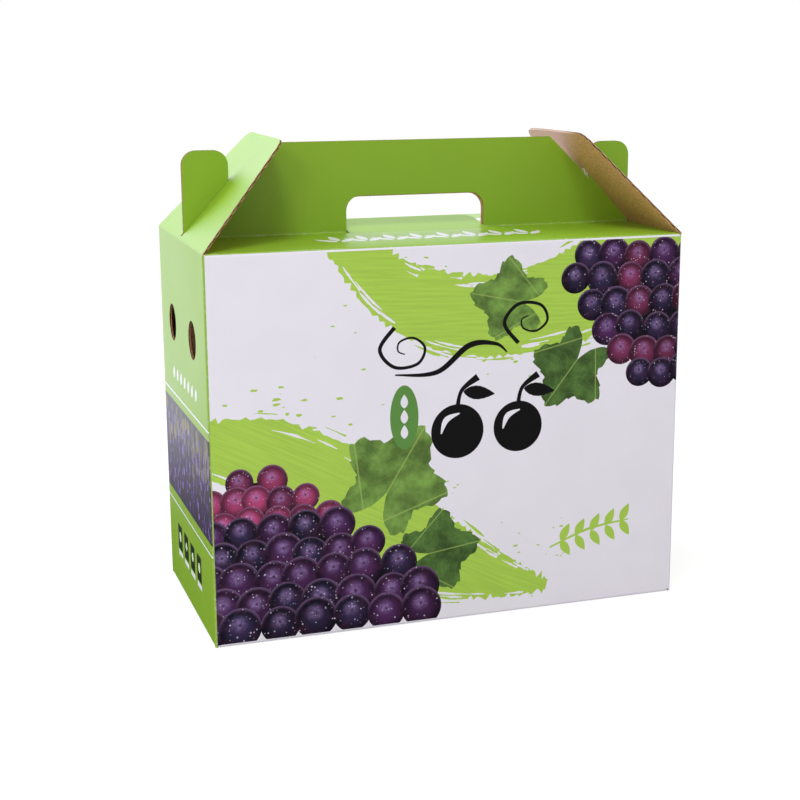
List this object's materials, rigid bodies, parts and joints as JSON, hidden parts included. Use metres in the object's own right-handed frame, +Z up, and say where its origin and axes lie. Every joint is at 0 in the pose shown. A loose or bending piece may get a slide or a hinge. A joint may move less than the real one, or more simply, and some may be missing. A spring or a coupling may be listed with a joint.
{
  "type": "fruit gift box",
  "caption": "Folded corrugated gift carton with a double-layer carrying handle, slit lock flaps at both ends, side vent holes and a snap-lock floor.",
  "frame": {"origin": "centre of the underside, on the surface that the box stands on", "axes": "+X runs along the front to its right end, +Y from the front to the back, +Z up; the printed front faces -Y"},
  "size_m": [0.32, 0.158, 0.3147],
  "materials": {
    "white_board": "satin",
    "green_board": "satin"
  },
  "bodies": {
    "box": {"carton": "white_board"},
    "left_flap": {"left_lock_flap": "green_board"},
    "right_flap": {"right_lock_flap": "green_board"},
    "tab": {"hand_hole_tab": "green_board"}
  },
  "joints": [
    {"name": "left_flap_fold", "type": "hinge", "parent": "box", "child": "left_flap", "pos_m": [-0.16, 0, 0.25], "axis": [0, -1, 0], "range_deg": [0, 200]},
    {"name": "right_flap_fold", "type": "hinge", "parent": "box", "child": "right_flap", "pos_m": [0.16, 0, 0.25], "axis": [0, 1, 0], "range_deg": [0, 200]},
    {"name": "hand_hole_tab_fold", "type": "hinge", "parent": "box", "child": "tab", "pos_m": [0, -0.00005, 0.2501], "axis": [1, 0, 0], "range_deg": [-10, 79]}
  ]
}
